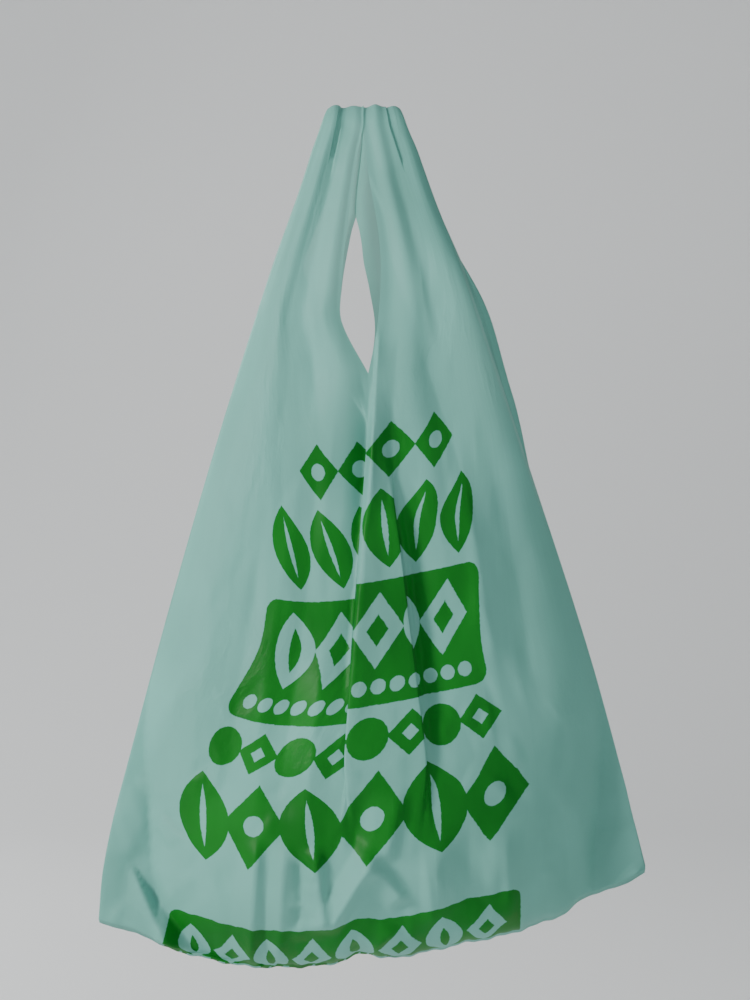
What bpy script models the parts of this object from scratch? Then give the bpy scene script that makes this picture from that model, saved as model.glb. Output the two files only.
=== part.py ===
"""Plastic carrier bag with two loop handles, hanging loaded from a round hook.

The whole bag is one tube of film: a front and a back panel, a gusset folded in at each
side, a heat seal across the foot and a U cut at the top that leaves two handles.
The film is lofted in four quarters (front or back, left or right) that share their edges.
A row of points runs from the middle of a panel out to its side edge and in along the gusset.
X points to the right, Y to the back and Z up, and the origin is the bearing line on the hook.
"""
import math

import bmesh
import bpy

# Driving sizes in metres, where a drop is measured down the film from the top of the gather
FILM_WALL = 0.0006
LAYER_PITCH = 0.0020
HOOK_RADIUS = 0.0080
TOP_RISE = 0.0040
FAN_RISE = 0.0730
ARC_FULL_DROP = 0.0320
WELD_REACH = 0.00001

# Side edges of the fan, from the gather down to the two ears
GATHER_LEFT = 0.0195
GATHER_RIGHT = 0.0200
EAR_LEFT = 0.1440
EAR_RIGHT = 0.1540
EDGE_BOW_LEFT = 0.0072
EDGE_BOW_RIGHT = 0.0065
BACK_PEEK = 0.0048
PEEK_STARTS = 0.0620
PEEK_FULL = 0.1350
PEEK_FADES = 0.1700
PEEK_GONE = 0.2350

# Depths off the middle plane
LEG_DEPTH = 0.0103
BODY_DEPTH = 0.0540
EDGE_DEPTH = 0.0100
EDGE_THINS_DROP = 0.2370
EDGE_THIN_DROP = 0.4150
SEAL_DEPTH = 0.0030
SEAL_TURN = 0.0025
EARS_START_DROP = 0.3240
EARS_FULL_DROP = 0.4540

# Drops of the armholes, the mouth slit, the belly and the foot seal
ARMHOLE_DROP = 0.1190
SLIT_DROP = 0.1470
SLIT_WIDTH = 0.0170
SLIT_TOP_FRONT = 0.0100
SLIT_TOP_BACK = 0.0550
SLIT_TOP_X_FRONT = 0.0
SLIT_TOP_X_BACK = -0.0040
MIDDLE_SETTLES = 0.1840
BELLY_DROP = 0.3950
EAR_DROP_LEFT = 0.4640
FOOT_DROP_LEFT = 0.4720
FOOT_DROP_MIDDLE = 0.4610
NOTCH_DEPTH = 0.0030
FOOT_DROP_RIGHT = 0.4510
EAR_DROP_RIGHT = 0.4370

# Gussets, folded in from the side edges
GUSSET_AT_ARMHOLE = 0.0140
GUSSET_AT_BODY = 0.0060
GUSSET_AT_EAR = 0.0340
GUSSET_HANGS_DROP = 0.0890
GUSSET_BODY_DROP = 0.2370
GUSSET_LOW_DROP = 0.3360
GUSSET_EAR_DROP = 0.4270

# Box pleat down the front
RIDGE_TOP = 0.1260
RIDGE_TOP_X = 0.0060
RIDGE_FOOT_LEFT = -0.0125
RIDGE_FOOT_RIGHT = 0.0390
OVERLAP_LEFT = 0.0150
OVERLAP_RIGHT = 0.0070
OVERLAP_STARTS = 0.2000
OVERLAP_DROP = 0.2900
PLEAT_SHUTS_LEFT = 0.1470
PLEAT_SHUT_LEFT = 0.2060
PLEAT_SHUTS_RIGHT = 0.1765
PLEAT_SHUT_RIGHT = 0.2470
PLEAT_OPENS = 0.3450
PLEAT_GONE = 0.4200
BUNCH_STARTS = 0.0880

# Soft pleats that fan out from the gather
PLEAT_HEIGHT = 0.0026
PLEAT_AT_HOOK = 0.0014
PLEAT_HEIGHT_DROP = 0.0600
PLEAT_LOW_DROP = 0.1700
PLEAT_FADED_DROP = 0.3750

# Counts of rows and columns
LEG_ROWS = 7
SLIT_ROWS = 2
BODY_ROWS = 12
FOOT_ROWS = 7
HOOK_STEPS = 6
FOLD_COLUMNS = 7
PANEL_COLUMNS = 16

# Shares of a length, and curves of (share of the way, share of the length) points
FOLD_SHARE = 0.21
EAR_REACH = 0.80
CROWN_SPREAD = 2.2
CROWN_ROUND = 0.8
HOOK_DRAW_IN = 0.14
EDGE_INNER_LAYERS = 0.6
GUSSET_INNER_LAYERS = 1.5
BACK_PLEATS = 2.15
SLIT_CURVES = {
    (-1, -1): ((0.0, 0.03), (0.2, 0.30), (0.5, 0.65), (0.68, 0.80), (0.8, 0.80), (1.0, 0.0)),
    (-1, 1): ((0.0, 0.03), (0.2, 0.13), (0.45, 0.42), (0.62, 0.46), (0.82, 0.31), (1.0, 0.0)),
    (1, -1): ((0.0, 0.03), (0.17, 0.28), (0.46, 0.66), (0.68, 0.76), (1.0, 0.0)),
    (1, 1): ((0.0, 0.03), (0.17, 0.10), (0.30, 0.13), (0.46, 0.25), (0.70, 0.33), (1.0, 0.0)),
}
EDGE_BOW_CURVES = {
    -1: ((0.0, 0.0), (0.1, 0.13), (0.22, 0.62), (0.42, 0.97), (0.84, 1.0), (0.94, 0.68), (1.0, 0.0)),
    1: ((0.0, 0.0), (0.155, 0.28), (0.27, 1.0), (0.39, 0.80), (0.73, 0.80), (0.94, 0.25), (1.0, 0.0)),
}
PLEAT_CURVES = {
    -1: ((0.0, 0.35), (0.17, 1.0), (0.30, 0.55), (0.45, 0.0), (0.60, 0.45), (0.74, 1.0), (1.0, 0.15)),
    1: ((0.0, 0.35), (0.12, 0.30), (0.33, 1.0), (0.50, 0.30), (0.62, 0.42), (0.86, 1.0), (1.0, 0.45)),
}

FRONT, BACK = -1, 1
LEFT, RIGHT = -1, 1


def ease(start, end, value):
    """Smooth step from 0 at start to 1 at end."""
    share = min(max((value - start) / (end - start), 0.0), 1.0)
    return share * share * (3.0 - 2.0 * share)


def mix(first, second, share):
    """Straight blend of two numbers."""
    return first + (second - first) * share


def fall(closing):
    """Share of the way down from the belly to the foot seal, round a quarter of an ellipse."""
    return math.sin(0.5 * math.pi * closing)


def through(points, at):
    """Height at one place of the smooth curve through a few (place, height) points."""
    if at <= points[0][0]:
        return points[0][1]
    if at >= points[-1][0]:
        return points[-1][1]
    last = len(points) - 1
    span = next(i for i in range(last) if at <= points[i + 1][0])
    (x0, y0), (x1, y1) = points[span], points[span + 1]
    before = points[max(span - 1, 0)]
    after = points[min(span + 2, last)]
    slope0 = (y1 - before[1]) / (x1 - before[0])
    slope1 = (after[1] - y0) / (after[0] - x0)
    if span == 0:
        slope0 = (y1 - y0) / (x1 - x0)
    if span + 1 == last:
        slope1 = (y1 - y0) / (x1 - x0)
    width = x1 - x0
    t = (at - x0) / width
    rise0 = slope0 * width * (t - 2.0 * t ** 2 + t ** 3)
    rise1 = slope1 * width * (t ** 3 - t ** 2)
    return y0 + (y1 - y0) * (3.0 * t ** 2 - 2.0 * t ** 3) + rise0 + rise1


def back_peek(side, drop):
    """How far the back panel shows past the front one, on the right below the gather."""
    if side == LEFT:
        return 0.0
    return BACK_PEEK * (ease(PEEK_STARTS, PEEK_FULL, drop) - ease(PEEK_FADES, PEEK_GONE, drop))


def side_edge(face, side, drop, closing):
    """Place across the bag of a panel's side edge, which moves out as the film fans out."""
    gather, ear, bow, foot = {
        LEFT: (GATHER_LEFT, EAR_LEFT, EDGE_BOW_LEFT, EAR_DROP_LEFT),
        RIGHT: (GATHER_RIGHT, EAR_RIGHT, EDGE_BOW_RIGHT, EAR_DROP_RIGHT),
    }[side]
    reached = mix(BELLY_DROP, foot, fall(closing)) if closing > 0.0 else drop
    share = reached / foot
    edge = mix(gather, ear, share) + bow * through(EDGE_BOW_CURVES[side], share)
    if face == BACK:
        edge += back_peek(side, drop)
    return side * edge


def slit_edge(face, side, drop):
    """Place across the bag of one edge of the mouth, from the hook down to the slit's foot."""
    top, top_x = (SLIT_TOP_BACK, SLIT_TOP_X_BACK) if face == BACK else (SLIT_TOP_FRONT, SLIT_TOP_X_FRONT)
    share = min(max((drop - top) / (SLIT_DROP - top), 0.0), 1.0)
    centre = mix(mix(0.0, top_x, ease(HOOK_RADIUS, top, drop)), 0.5 * RIDGE_TOP_X, share)
    return centre + side * SLIT_WIDTH * through(SLIT_CURVES[face, side], share)


def ridge_edge(side, drop):
    """Place across the bag of one edge of the pleat that stands forward down the front."""
    foot = RIDGE_FOOT_RIGHT if side == RIGHT else RIDGE_FOOT_LEFT
    return mix(RIDGE_TOP_X, foot, (drop - RIDGE_TOP) / (BELLY_DROP - RIDGE_TOP))


def ridge_overlap(side, drop):
    """How far the pleat covers the film beside it."""
    most = OVERLAP_RIGHT if side == RIGHT else OVERLAP_LEFT
    curve = ((RIDGE_TOP, 0.0), (OVERLAP_STARTS, 0.35), (OVERLAP_DROP, 1.0), (PLEAT_OPENS, 0.25), (BELLY_DROP, 0.1))
    return most * through(curve, drop)


def fold_strength(side, drop):
    """1 where the pleat lies folded flat and 0 where it has opened out."""
    if side == LEFT:
        shut = ease(PLEAT_SHUTS_LEFT, PLEAT_SHUT_LEFT, drop)
    else:
        shut = ease(PLEAT_SHUTS_RIGHT, PLEAT_SHUT_RIGHT, drop)
    return shut * (1.0 - ease(PLEAT_OPENS, PLEAT_GONE, drop))


def middle_line(face, drop):
    """Place across the bag of the line where the left and right quarters of a panel meet."""
    centre = 0.5 * (ridge_edge(LEFT, drop) + ridge_edge(RIGHT, drop))
    if face == BACK:
        centre = mix(0.0, centre, ease(GUSSET_BODY_DROP, BELLY_DROP, drop))
    return mix(slit_edge(face, RIGHT, SLIT_DROP), centre, ease(SLIT_DROP, MIDDLE_SETTLES, drop))


def foot_drop(share):
    """Drop of the foot seal, from the left ear at -1 to the right ear at 1."""
    curve = (
        (-1.0, EAR_DROP_LEFT),
        (-0.83, mix(EAR_DROP_LEFT, FOOT_DROP_LEFT, 0.15)),
        (-0.45, FOOT_DROP_LEFT),
        (-0.14, mix(FOOT_DROP_LEFT, FOOT_DROP_MIDDLE, 0.35)),
        (0.0, FOOT_DROP_MIDDLE),
        (0.08, FOOT_DROP_MIDDLE + NOTCH_DEPTH),
        (0.50, mix(FOOT_DROP_MIDDLE + NOTCH_DEPTH, FOOT_DROP_RIGHT, 0.55)),
        (0.72, FOOT_DROP_RIGHT),
        (0.80, mix(FOOT_DROP_RIGHT, EAR_DROP_RIGHT, 0.45)),
        (1.0, EAR_DROP_RIGHT),
    )
    return through(curve, share)


def body_reach(drop):
    """Share of the half width that the contents push out, which leaves flat ears below."""
    return mix(1.0, EAR_REACH, ease(EARS_START_DROP, EARS_FULL_DROP, drop))


def panel_depth(drop, share, closing):
    """Depth of a panel in front of or behind the middle plane, with no pleats.

    The share runs from 0 at the middle to 1 at the side edge, and closing from 0 at the
    belly to 1 at the foot seal.
    """
    middle = mix(LEG_DEPTH, BODY_DEPTH, min(drop / BELLY_DROP, 1.0))
    edge = mix(LEG_DEPTH, EDGE_DEPTH, ease(0.0, ARMHOLE_DROP, drop))
    edge = mix(edge, SEAL_DEPTH, ease(EDGE_THINS_DROP, EDGE_THIN_DROP, drop))
    reach = min(abs(share) / body_reach(drop), 1.0)
    crown = (1.0 - reach ** CROWN_SPREAD) ** CROWN_ROUND
    depth = mix(edge, max(middle, edge), crown)
    return mix(min(depth, SEAL_DEPTH), depth, math.cos(0.5 * math.pi * closing))


def pleat(face, side, drop, share):
    """Height of the soft pleats that fan out from the gather."""
    height = through(
        (
            (HOOK_RADIUS, PLEAT_AT_HOOK),
            (PLEAT_HEIGHT_DROP, PLEAT_HEIGHT),
            (PLEAT_LOW_DROP, 0.45 * PLEAT_HEIGHT),
            (PLEAT_FADED_DROP, 0.0),
        ),
        drop,
    )
    if face == BACK:
        return height * (0.5 + 0.5 * math.cos(2.0 * math.pi * (BACK_PLEATS * share + 0.25)))
    return height * through(PLEAT_CURVES[side], share)


def panel_columns(face, side, drop, start, edge):
    """Place across the bag and lift in layers of each column of a panel."""
    turn = side * 0.5 * LAYER_PITCH
    bunched = ease(BUNCH_STARTS, SLIT_DROP, drop)
    crest = 0.0
    if face == FRONT:
        crest = max(fold_strength(LEFT, drop), fold_strength(RIGHT, drop))
    places = []
    for column in range(PANEL_COLUMNS):
        even = column / (PANEL_COLUMNS - 1)
        if column <= FOLD_COLUMNS:
            share = mix(even, FOLD_SHARE * column / FOLD_COLUMNS, bunched)
            lift = 2.0 * crest * (1.0 - ease(0, FOLD_COLUMNS, column))
        else:
            beyond = (column - FOLD_COLUMNS) / (PANEL_COLUMNS - 1 - FOLD_COLUMNS)
            share = mix(even, mix(FOLD_SHARE, 1.0, beyond), bunched)
            lift = 0.0
        places.append([mix(start, edge - turn, share), lift])
    folded = fold_strength(side, drop) if face == FRONT else 0.0
    if folded > 0.0:
        fold = ridge_edge(side, drop)
        back = fold - side * ridge_overlap(side, drop)
        layers = (
            (start, 2.0),
            (mix(start, fold - turn, 0.5), 2.0),
            (fold - turn, 2.0),
            (fold, 1.5),
            (fold - turn, 1.0),
            (back + turn, 1.0),
            (back, 0.5),
            (back + turn, 0.0),
        )
        outer = places[-1][0]
        for column in range(FOLD_COLUMNS + 1, PANEL_COLUMNS):
            share = (column - FOLD_COLUMNS) / (PANEL_COLUMNS - 1 - FOLD_COLUMNS)
            places[column][0] = mix(places[column][0], mix(back + turn, outer, share), folded)
        for column, (place, layer) in enumerate(layers):
            open_place, open_lift = places[column]
            places[column] = [mix(open_place, place, folded), mix(open_lift, crest * layer, folded)]
    return places


def row_height(drop, across):
    """Height of a point, on rows that curve like arcs round a centre above the gather."""
    radius = FAN_RISE + drop
    arc = radius - math.sqrt(radius * radius - across * across)
    return TOP_RISE - drop + arc * ease(HOOK_RADIUS, ARC_FULL_DROP, drop)


def gusset_depth(drop):
    """How far the gusset is folded in from the side edge."""
    curve = (
        (ARMHOLE_DROP, GUSSET_AT_ARMHOLE),
        (GUSSET_BODY_DROP, GUSSET_AT_BODY),
        (GUSSET_LOW_DROP, GUSSET_AT_BODY),
        (GUSSET_EAR_DROP, GUSSET_AT_EAR),
    )
    return through(curve, drop)


def film_row(face, side, drop, closing, sealed):
    """Points of one row of one quarter, from the middle of the panel to the gusset's fold."""
    edge = side_edge(face, side, drop, closing)
    start = slit_edge(face, side, drop) if drop < SLIT_DROP else middle_line(face, drop)

    def at_panel(across):
        share = (across - start) / (edge - start)
        return panel_depth(drop, share, closing) + pleat(face, side, drop, share)

    def point(across, depth, inner_layers):
        seal = foot_drop(across / (EAR_RIGHT if across > 0.0 else EAR_LEFT))
        closed = mix(BELLY_DROP, seal, fall(closing)) if closing > 0.0 else drop
        closed += SEAL_TURN if sealed else 0.0
        closed -= inner_layers * LAYER_PITCH * ease(0.0, 1.0, closing)
        depth = 0.0 if sealed else depth
        return (across, face * depth, row_height(closed, across))

    points = [
        point(across, at_panel(across) + lift * LAYER_PITCH, 0.0)
        for across, lift in panel_columns(face, side, drop, start, edge)
    ]
    turn = 0.5 * LAYER_PITCH
    edge_depth = at_panel(edge)
    points.append(point(edge, edge_depth - turn, EDGE_INNER_LAYERS))
    inward = gusset_depth(drop) + 0.5 * face * back_peek(side, drop)
    lies_flat = 1.0 - ease(GUSSET_HANGS_DROP, ARMHOLE_DROP, drop)
    ways = (turn, 0.5 * inward, inward - turn, inward)
    hung_depths = (
        edge_depth - LAYER_PITCH,
        mix(edge_depth - LAYER_PITCH, turn, 0.5),
        turn,
        0.0,
    )
    for way, hung in zip(ways, hung_depths):
        across = edge - side * way
        lying = at_panel(across) - LAYER_PITCH
        points.append(point(across, mix(hung, lying, lies_flat), GUSSET_INNER_LAYERS))
    return points


def row_stations():
    """Drop, closing and seal mark of each row, from the hook down to the foot seal."""
    first = TOP_RISE + HOOK_RADIUS
    stations = [mix(first, ARMHOLE_DROP, i / LEG_ROWS) for i in range(LEG_ROWS)]
    stations += [mix(ARMHOLE_DROP, SLIT_DROP, i / SLIT_ROWS) for i in range(SLIT_ROWS)]
    stations += [mix(SLIT_DROP, BELLY_DROP, i / BODY_ROWS) for i in range(BODY_ROWS + 1)]
    rows = [(drop, 0.0, False) for drop in stations]
    for i in range(1, FOOT_ROWS + 1):
        rows.append((mix(BELLY_DROP, FOOT_DROP_LEFT, i / FOOT_ROWS), i / FOOT_ROWS, False))
    rows.append((FOOT_DROP_LEFT, 1.0, True))
    return rows


def hook_rows(front_row, back_row):
    """Rows that carry one handle over the hook, drawn in a little at the top."""
    rows = []
    for step in range(1, HOOK_STEPS):
        share = step / HOOK_STEPS
        angle = math.pi * share
        drawn = 1.0 - HOOK_DRAW_IN * math.sin(angle)
        row = []
        for front, back in zip(front_row, back_row):
            radius = mix(-front[1], back[1], share)
            across = drawn * mix(front[0], back[0], share)
            row.append((across, -radius * math.cos(angle), radius * math.sin(angle) - HOOK_RADIUS))
        rows.append(row)
    return rows


def loft(bm, rows):
    """Add a sheet of quads over rows of points of equal length."""
    verts = [[bm.verts.new(point) for point in row] for row in rows]
    for upper, lower in zip(verts, verts[1:]):
        for i in range(len(upper) - 1):
            bm.faces.new((upper[i], upper[i + 1], lower[i + 1], lower[i]))


def film_mesh():
    """Mesh of the open film surface, with the quarters welded along their shared edges."""
    bm = bmesh.new()
    stations = row_stations()
    for side in (LEFT, RIGHT):
        front = [film_row(FRONT, side, *station) for station in stations]
        back = [film_row(BACK, side, *station) for station in stations]
        loft(bm, front)
        loft(bm, back)
        loft(bm, [front[0], *hook_rows(front[0], back[0]), back[0]])
    bmesh.ops.remove_doubles(bm, verts=bm.verts, dist=WELD_REACH)
    bmesh.ops.recalc_face_normals(bm, faces=bm.faces)
    mesh = bpy.data.meshes.new("carrier_bag")
    bm.to_mesh(mesh)
    bm.free()
    return mesh


def film_material():
    """Matte, slightly milky green film."""
    material = bpy.data.materials.new("green_film")
    material.use_nodes = True
    shader = material.node_tree.nodes["Principled BSDF"]
    shader.inputs["Base Color"].default_value = (0.28, 0.52, 0.46, 1.0)
    shader.inputs["Roughness"].default_value = 0.55
    shader.inputs["Metallic"].default_value = 0.0
    return material


def build_bag(collection):
    """The bag as one closed solid: the lofted film with its wall."""
    bag = bpy.data.objects.new("carrier_bag", film_mesh())
    bag.data.materials.append(film_material())
    collection.objects.link(bag)
    wall = bag.modifiers.new("film_wall", "SOLIDIFY")
    wall.thickness = FILM_WALL
    wall.offset = 0.0
    wall.use_even_offset = True
    bag.data.shade_smooth()
    return bag


def main():
    """Clear the scene and build the bag in its own collection."""
    for item in list(bpy.data.objects):
        bpy.data.objects.remove(item, do_unlink=True)
    collection = bpy.data.collections.new("plastic_carrier_bag")
    bpy.context.scene.collection.children.link(collection)
    build_bag(collection)


main()
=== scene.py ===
"""Vest carrier of thin milky green film, hanging loaded from both handles.

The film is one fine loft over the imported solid: four quarters of a gusseted tube, with the
box pleat down the front, the soft pleats that fan out from the gather, the sharp creases
and the ears at the foot. The print is a field of plain motifs laid out on the flat film, so
it runs into the folds and turns under at the foot as ink on film does.
"""
import logging
import math
from dataclasses import dataclass
from enum import Enum

import bmesh
import bpy
import numpy as np
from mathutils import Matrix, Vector


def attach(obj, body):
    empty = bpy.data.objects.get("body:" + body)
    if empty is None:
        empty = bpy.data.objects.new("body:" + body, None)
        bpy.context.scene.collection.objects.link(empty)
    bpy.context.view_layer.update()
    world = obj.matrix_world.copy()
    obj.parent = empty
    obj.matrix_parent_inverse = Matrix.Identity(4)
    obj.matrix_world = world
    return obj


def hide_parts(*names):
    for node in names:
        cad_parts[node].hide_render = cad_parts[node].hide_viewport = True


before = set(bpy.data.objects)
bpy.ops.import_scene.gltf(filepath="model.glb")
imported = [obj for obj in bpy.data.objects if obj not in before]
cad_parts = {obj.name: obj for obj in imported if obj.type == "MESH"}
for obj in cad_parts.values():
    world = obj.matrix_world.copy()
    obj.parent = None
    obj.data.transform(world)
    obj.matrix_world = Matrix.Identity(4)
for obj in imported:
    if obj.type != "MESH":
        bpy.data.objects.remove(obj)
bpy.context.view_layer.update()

NODE = "carrier_bag"
FLAT_PLACE = "flat_place"

PHOTO_WIDTH = 750
PHOTO_HEIGHT = 1000
METRES_PER_PIXEL = 0.000548
MM_PER_METRE = 1000.0
GATHER_PIXEL = (363, 108)
CAMERA_DISTANCE = 1.15

LOG = logging.getLogger("carrier_bag")

Pair = tuple[float, float]
Place = tuple[float, float, float]
Colour = tuple[float, float, float, float]
Socket = bpy.types.NodeSocket


class Face(Enum):
    """The two panels of the bag, by the side of the middle plane they lie on."""

    FRONT = -1
    BACK = 1


class Side(Enum):
    """The two halves of a panel, as seen from the front."""

    LEFT = -1
    RIGHT = 1

    def of(self, pair: Pair) -> float:
        """Value for this side, from a left and right pair."""
        return pair[0] if self is Side.LEFT else pair[1]


class Motif(Enum):
    """Plain shapes that the print is made of."""

    LEAF = "leaf"
    DISC = "disc"
    DIAMOND = "diamond"
    BAND = "band"


LEAF, DISC, DIAMOND, BAND = Motif


def ease(start: float, end: float, value):
    """Smooth step from 0 at start to 1 at end, for a number or an array."""
    share = np.clip((np.asarray(value, dtype=float) - start) / (end - start), 0.0, 1.0)
    return share * share * (3.0 - 2.0 * share)


def mix(first, second, share):
    """Straight blend of two numbers or arrays."""
    return first + (second - first) * share


def cubic(start, end, slope_in, slope_out, t):
    """Cubic from start to end at share t, with a slope at each end."""
    bend = slope_in * (t - 2.0 * t**2 + t**3) + slope_out * (t**3 - t**2)
    return mix(start, end, 3.0 * t**2 - 2.0 * t**3) + bend


def through(points: tuple[Pair, ...], at):
    """Smooth curve through a few points.

    Args:
        points: (place, height) pairs in order of place.
        at: number or array of places.

    Returns:
        Heights at those places, held level past both ends.
    """
    xs, ys = np.array(points, dtype=float).T
    at = np.clip(np.asarray(at, dtype=float), xs[0], xs[-1])
    span = np.clip(np.searchsorted(xs, at, side="right") - 1, 0, len(xs) - 2)
    slope = np.empty_like(ys)
    slope[[0, -1]] = (np.diff(ys) / np.diff(xs))[[0, -1]]
    slope[1:-1] = (ys[2:] - ys[:-2]) / (xs[2:] - xs[:-2])
    width = xs[span + 1] - xs[span]
    t = (at - xs[span]) / width
    return cubic(ys[span], ys[span + 1], slope[span] * width, slope[span + 1] * width, t)


@dataclass(frozen=True)
class BagSizes:
    """Sizes of the hanging bag in metres. Pairs are left and right, drops run down the film."""

    top_rise: float = 0.0040
    hook_radius: float = 0.0080
    hook_draw_in: float = 0.14
    fan_rise: float = 0.0730
    arc_full: float = 0.0320
    layer_pitch: float = 0.0015
    pleat_pitch: float = 0.0021
    gather: Pair = (0.0195, 0.0200)
    ear: Pair = (0.1440, 0.1540)
    edge_bow: Pair = (0.0072, 0.0065)
    back_peek: Pair = (0.0, 0.0048)
    peek_starts: float = 0.0620
    peek_full: float = 0.1350
    peek_fades: float = 0.1700
    peek_gone: float = 0.2350
    leg_depth: float = 0.0103
    body_depth: float = 0.0540
    edge_depth: float = 0.0100
    edge_thins: float = 0.2370
    edge_thin: float = 0.4150
    seal_depth: float = 0.0030
    seal_turn: float = 0.0025
    ears_start: float = 0.3240
    ears_full: float = 0.4540
    ear_reach: float = 0.80
    crown_spread: float = 2.2
    crown_round: float = 0.8
    armhole_drop: float = 0.1190
    slit_drop: float = 0.1470
    slit_width: float = 0.0170
    slit_top_front: float = 0.0100
    slit_top_back: float = 0.0550
    slit_top_x_back: float = -0.0040
    slit_lap: float = 0.0006
    middle_settles: float = 0.1840
    belly_drop: float = 0.3950
    foot_drop: float = 0.4720
    notch_drop: float = 0.4610
    ear_drop: Pair = (0.4640, 0.4370)
    ear_seal_drop: Pair = (0.4640, 0.4406)
    gusset_at_armhole: float = 0.0140
    gusset_at_body: float = 0.0060
    gusset_at_ear: float = 0.0340
    gusset_hangs: float = 0.0890
    gusset_body: float = 0.2370
    gusset_low: float = 0.3360
    gusset_ear: float = 0.4270
    ridge_top: float = 0.1260
    ridge_top_x: float = 0.0060
    ridge_foot: Pair = (-0.0125, 0.0390)
    overlap: Pair = (0.0150, 0.0070)
    overlap_starts: float = 0.2000
    overlap_drop: float = 0.2900
    pleat_shuts: Pair = (0.1470, 0.1765)
    pleat_shut: Pair = (0.1860, 0.2300)
    bunch_starts: float = 0.0880
    pleat_opens: float = 0.3450
    pleat_gone: float = 0.4200
    flat_half_width: float = 0.1500
    flat_gusset: float = 0.0800
    slit_lap_fades: float = 0.12
    slit_lap_width: float = 0.05
    slit_lap_full: float = 0.0600
    edge_turns_in: float = 0.6
    gusset_turns_in: float = 1.5
    print_tilt: float = 0.0085
    print_tilt_reach: float = 0.060
    print_slip: float = 0.0080
    print_slip_holds: float = 0.3
    print_stretch: float = 1.08


SLIT_CURVES = {
    (Face.FRONT, Side.LEFT): (
        (0.0, 0.0), (0.2, 0.30), (0.5, 0.65), (0.68, 0.80), (0.8, 0.80), (1.0, 0.0),
    ),
    (Face.FRONT, Side.RIGHT): (
        (0.0, 0.0), (0.2, 0.13), (0.45, 0.42), (0.62, 0.46), (0.82, 0.31), (1.0, 0.0),
    ),
    (Face.BACK, Side.LEFT): ((0.0, 0.0), (0.17, 0.28), (0.46, 0.66), (0.68, 0.76), (1.0, 0.0)),
    (Face.BACK, Side.RIGHT): (
        (0.0, 0.0), (0.17, 0.10), (0.30, 0.13), (0.46, 0.25), (0.70, 0.33), (1.0, 0.0),
    ),
}
EDGE_BOW_CURVES = {
    Side.LEFT: (
        (0.0, 0.0), (0.1, 0.13), (0.22, 0.62), (0.42, 0.97), (0.84, 1.0), (0.94, 0.68), (1.0, 0.0),
    ),
    Side.RIGHT: (
        (0.0, 0.0), (0.155, 0.28), (0.27, 1.0), (0.39, 0.80), (0.73, 0.80), (0.94, 0.25), (1.0, 0.0),
    ),
}
PLEAT_CURVES = {
    Side.LEFT: (
        (0.0, 0.35), (0.17, 1.0), (0.30, 0.55), (0.45, 0.0), (0.60, 0.45), (0.74, 1.0), (1.0, 0.15),
    ),
    Side.RIGHT: (
        (0.0, 0.35), (0.12, 0.30), (0.33, 1.0), (0.50, 0.30), (0.62, 0.42), (0.86, 1.0), (1.0, 0.45),
    ),
}
PLEAT_HEIGHTS = (
    (0.008, 0.0016), (0.030, 0.0026), (0.080, 0.0038), (0.150, 0.0042),
    (0.240, 0.0034), (0.340, 0.0020), (0.430, 0.0),
)
BACK_PLEATS = (2.15, 0.25)
FOOT_CURVE = (
    (-1.0, BagSizes.ear_seal_drop[0]), (-0.83, 0.4652), (-0.75, 0.4687), (-0.60, 0.4707),
    (-0.45, BagSizes.foot_drop), (-0.30, 0.4705), (-0.145, 0.4681), (-0.070, 0.4650),
    (0.007, BagSizes.notch_drop), (0.08, 0.4640), (0.22, 0.4617), (0.36, 0.4585), (0.505, 0.4569),
    (0.65, 0.4531), (0.72, 0.4510), (0.79, 0.4450), (0.93, 0.4434), (1.0, BagSizes.ear_seal_drop[1]),
)
FOOT_RIPPLES = ((0.0005, 310.0, 0.0), (0.0003, 730.0, 1.3))
OVERLAP_SHARES = (0.0, 0.35, 1.0, 0.25, 0.1)
CREASE_HOLD = 10
SLIP_COLUMNS = 4
FAN_LEAST = 0.01


def pixel_place(pixel: Pair) -> Pair:
    """X and Z on the middle plane of the bag that show at a pixel of the picture."""
    across = (pixel[0] - GATHER_PIXEL[0]) * METRES_PER_PIXEL
    return across, BagSizes.top_rise - (pixel[1] - GATHER_PIXEL[1]) * METRES_PER_PIXEL


PICTURE_MIDDLE = pixel_place((0.5 * PHOTO_WIDTH, 0.5 * PHOTO_HEIGHT))


@dataclass(frozen=True)
class Crease:
    """A fold in the film, along a straight line between two places seen from the front.

    Attributes:
        start: first end, as a pixel of the picture.
        end: second end, as a pixel of the picture.
        height: how far the crest stands out, below zero for a valley.
        left: half of the width of the facet on the left of the line.
        right: half of the width of the facet on the right.
        fade: share of the length over which the crest dies out at each end.
        fan: whether the fold opens like a cone, from a point at its first end.
    """

    start: Pair
    end: Pair
    height: float
    left: float
    right: float
    fade: float = 0.35
    fan: bool = False

    def lift(self, across: np.ndarray, up: np.ndarray) -> np.ndarray:
        """Outward lift that the crease gives the film.

        Args:
            across: X at which each point is seen.
            up: Z at which each point is seen.

        Returns:
            Lift of each point in metres.
        """
        (x0, z0), (x1, z1) = pixel_place(self.start), pixel_place(self.end)
        length = math.hypot(x1 - x0, z1 - z0)
        dx, dz = (x1 - x0) / length, (z1 - z0) / length
        along = ((across - x0) * dx + (up - z0) * dz) / length
        beside = (up - z0) * dx - (across - x0) * dz
        if dz > 0.0:
            beside = -beside
        taper = ease(0.0, self.fade, along) * ease(0.0, self.fade, 1.0 - along)
        facet = 2.0 * np.where(beside < 0.0, self.left, self.right)
        if self.fan:
            taper = np.clip(along, 0.0, 1.0)
            facet = facet * np.clip(along, FAN_LEAST, 1.0)
        return self.height * taper * np.clip(1.0 - np.abs(beside) / facet, 0.0, None)


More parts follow.
